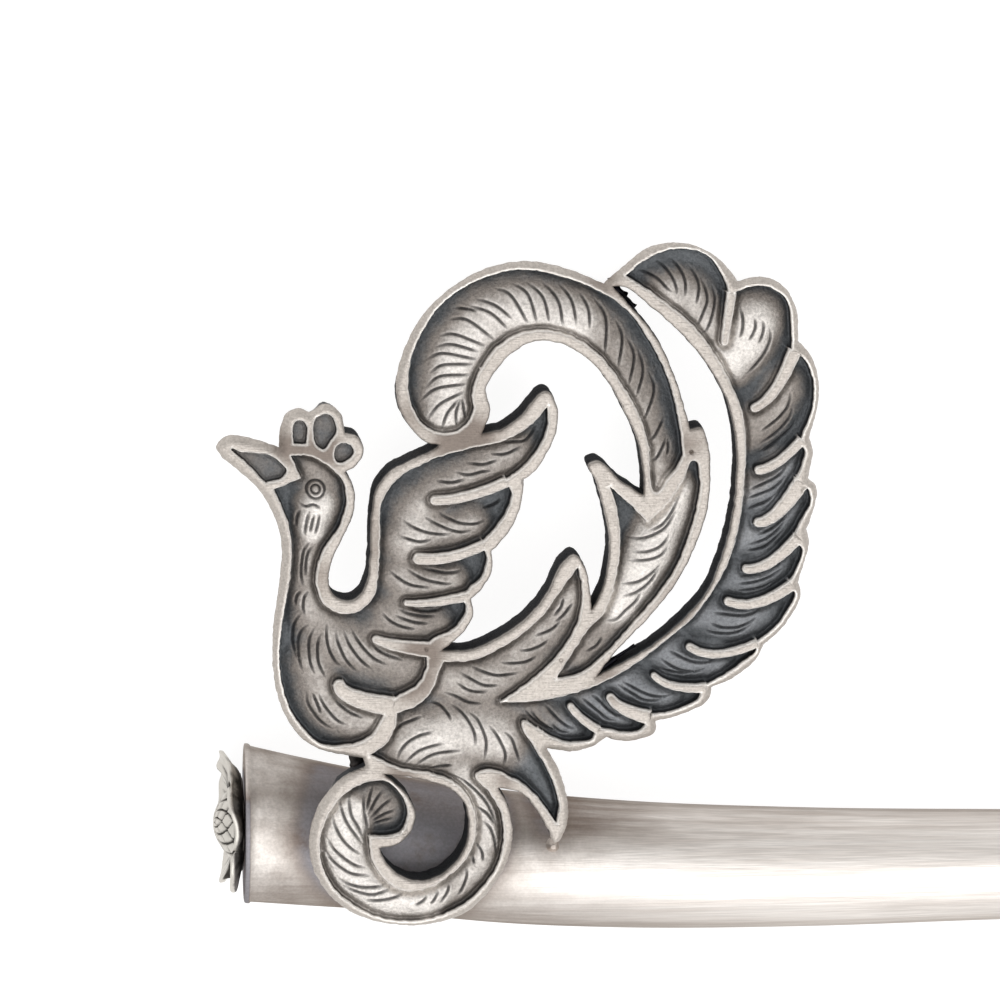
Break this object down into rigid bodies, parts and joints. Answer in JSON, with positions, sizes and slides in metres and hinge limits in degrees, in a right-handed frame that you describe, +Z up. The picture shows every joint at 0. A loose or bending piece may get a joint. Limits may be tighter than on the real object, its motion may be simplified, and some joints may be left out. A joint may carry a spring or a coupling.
{
  "type": "binyeo hairpin",
  "caption": "Long silver hairpin: a round tapering stem with a rosette on its head end and a pierced cast phoenix soldered to the front of the head.",
  "frame": {"origin": "under the middle of the pin's box, on the surface that it lies on", "axes": "+X along the stem from its head to its tip, +Y from the stem towards the bird's crest and feathers, +Z up, the side that the casting's front faces"},
  "size_m": [0.199, 0.0494, 0.0144],
  "materials": {
    "stem_silver": "brushed silver, darkened under the casting",
    "cast_silver": "oxidised cast silver with filed bright rims",
    "rosette_silver": "oxidised silver"
  },
  "bodies": {
    "root": {"stem": "stem_silver", "phoenix": "cast_silver", "rosette": "rosette_silver"}
  },
  "joints": []
}
